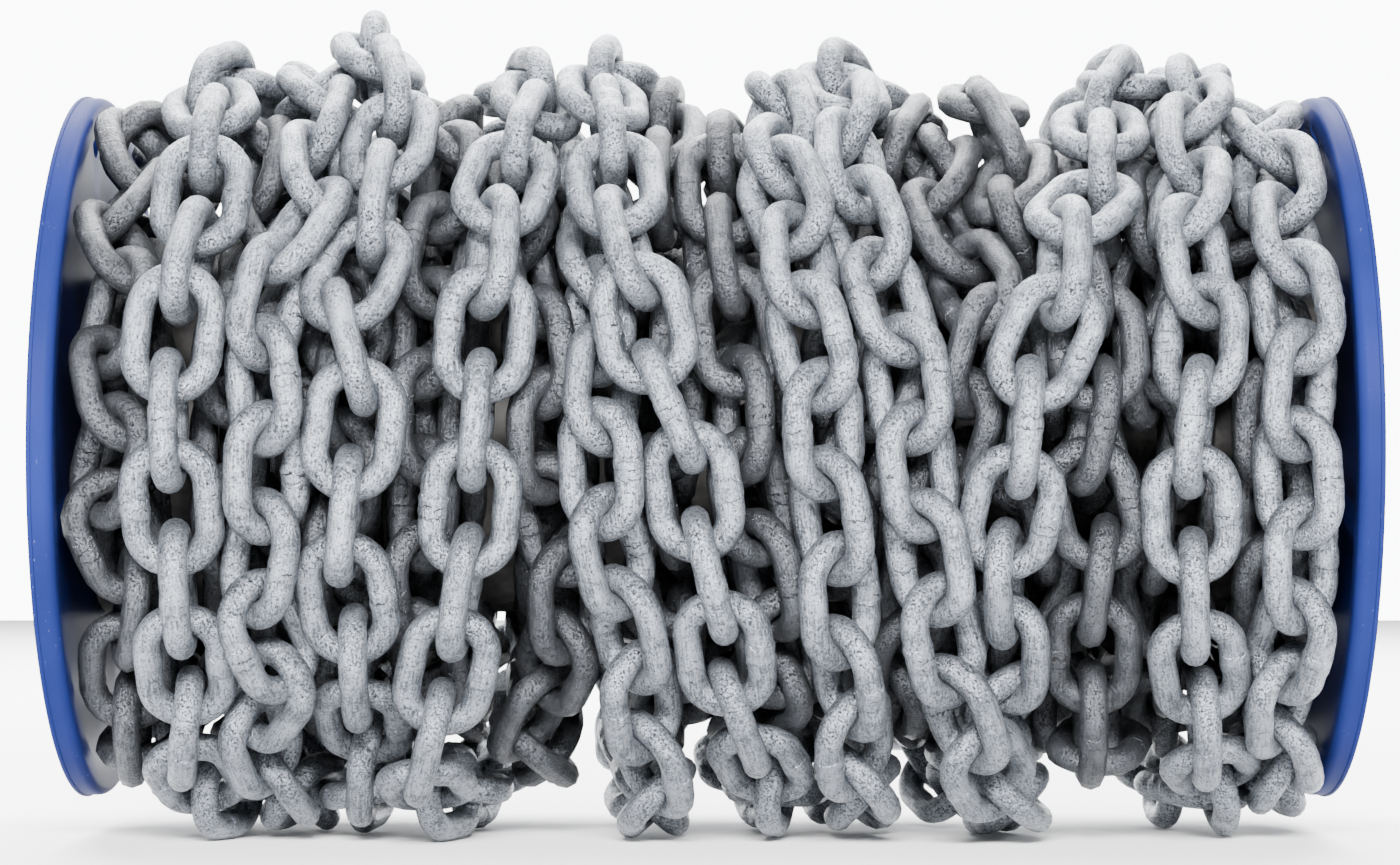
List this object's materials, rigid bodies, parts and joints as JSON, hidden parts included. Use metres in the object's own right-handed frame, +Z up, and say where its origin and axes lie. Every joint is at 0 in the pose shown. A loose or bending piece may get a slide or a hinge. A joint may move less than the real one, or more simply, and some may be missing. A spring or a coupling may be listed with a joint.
{
  "type": "reel of steel chain",
  "caption": "Overfilled reel of galvanised short-link steel chain between two blue painted pressed-steel flanges, lying with its axis level.",
  "frame": {"origin": "on the floor, straight below the middle of the reel", "axes": "+X along the reel's axis towards the right flange, +Z up, the pictured side faces -Y"},
  "size_m": [0.461, 0.3032, 0.3064],
  "materials": {
    "galvanised_steel": "hot-dip galvanised, weathered dull grey with fine dark speckle",
    "blue_paint": "glossy blue paint with light scratches",
    "drum_steel": "plain mill steel"
  },
  "bodies": {
    "root": {"flange_left": "blue_paint", "flange_right": "blue_paint", "drum_tube": "drum_steel", "chain_inner_layers": "galvanised_steel", "chain_turn_01": "galvanised_steel", "chain_turn_02": "galvanised_steel", "chain_turn_03": "galvanised_steel", "chain_turn_04": "galvanised_steel", "chain_turn_05": "galvanised_steel", "chain_turn_06": "galvanised_steel", "chain_turn_07": "galvanised_steel", "chain_turn_08": "galvanised_steel", "chain_turn_09": "galvanised_steel", "chain_turn_10": "galvanised_steel", "chain_turn_11": "galvanised_steel"}
  },
  "joints": []
}
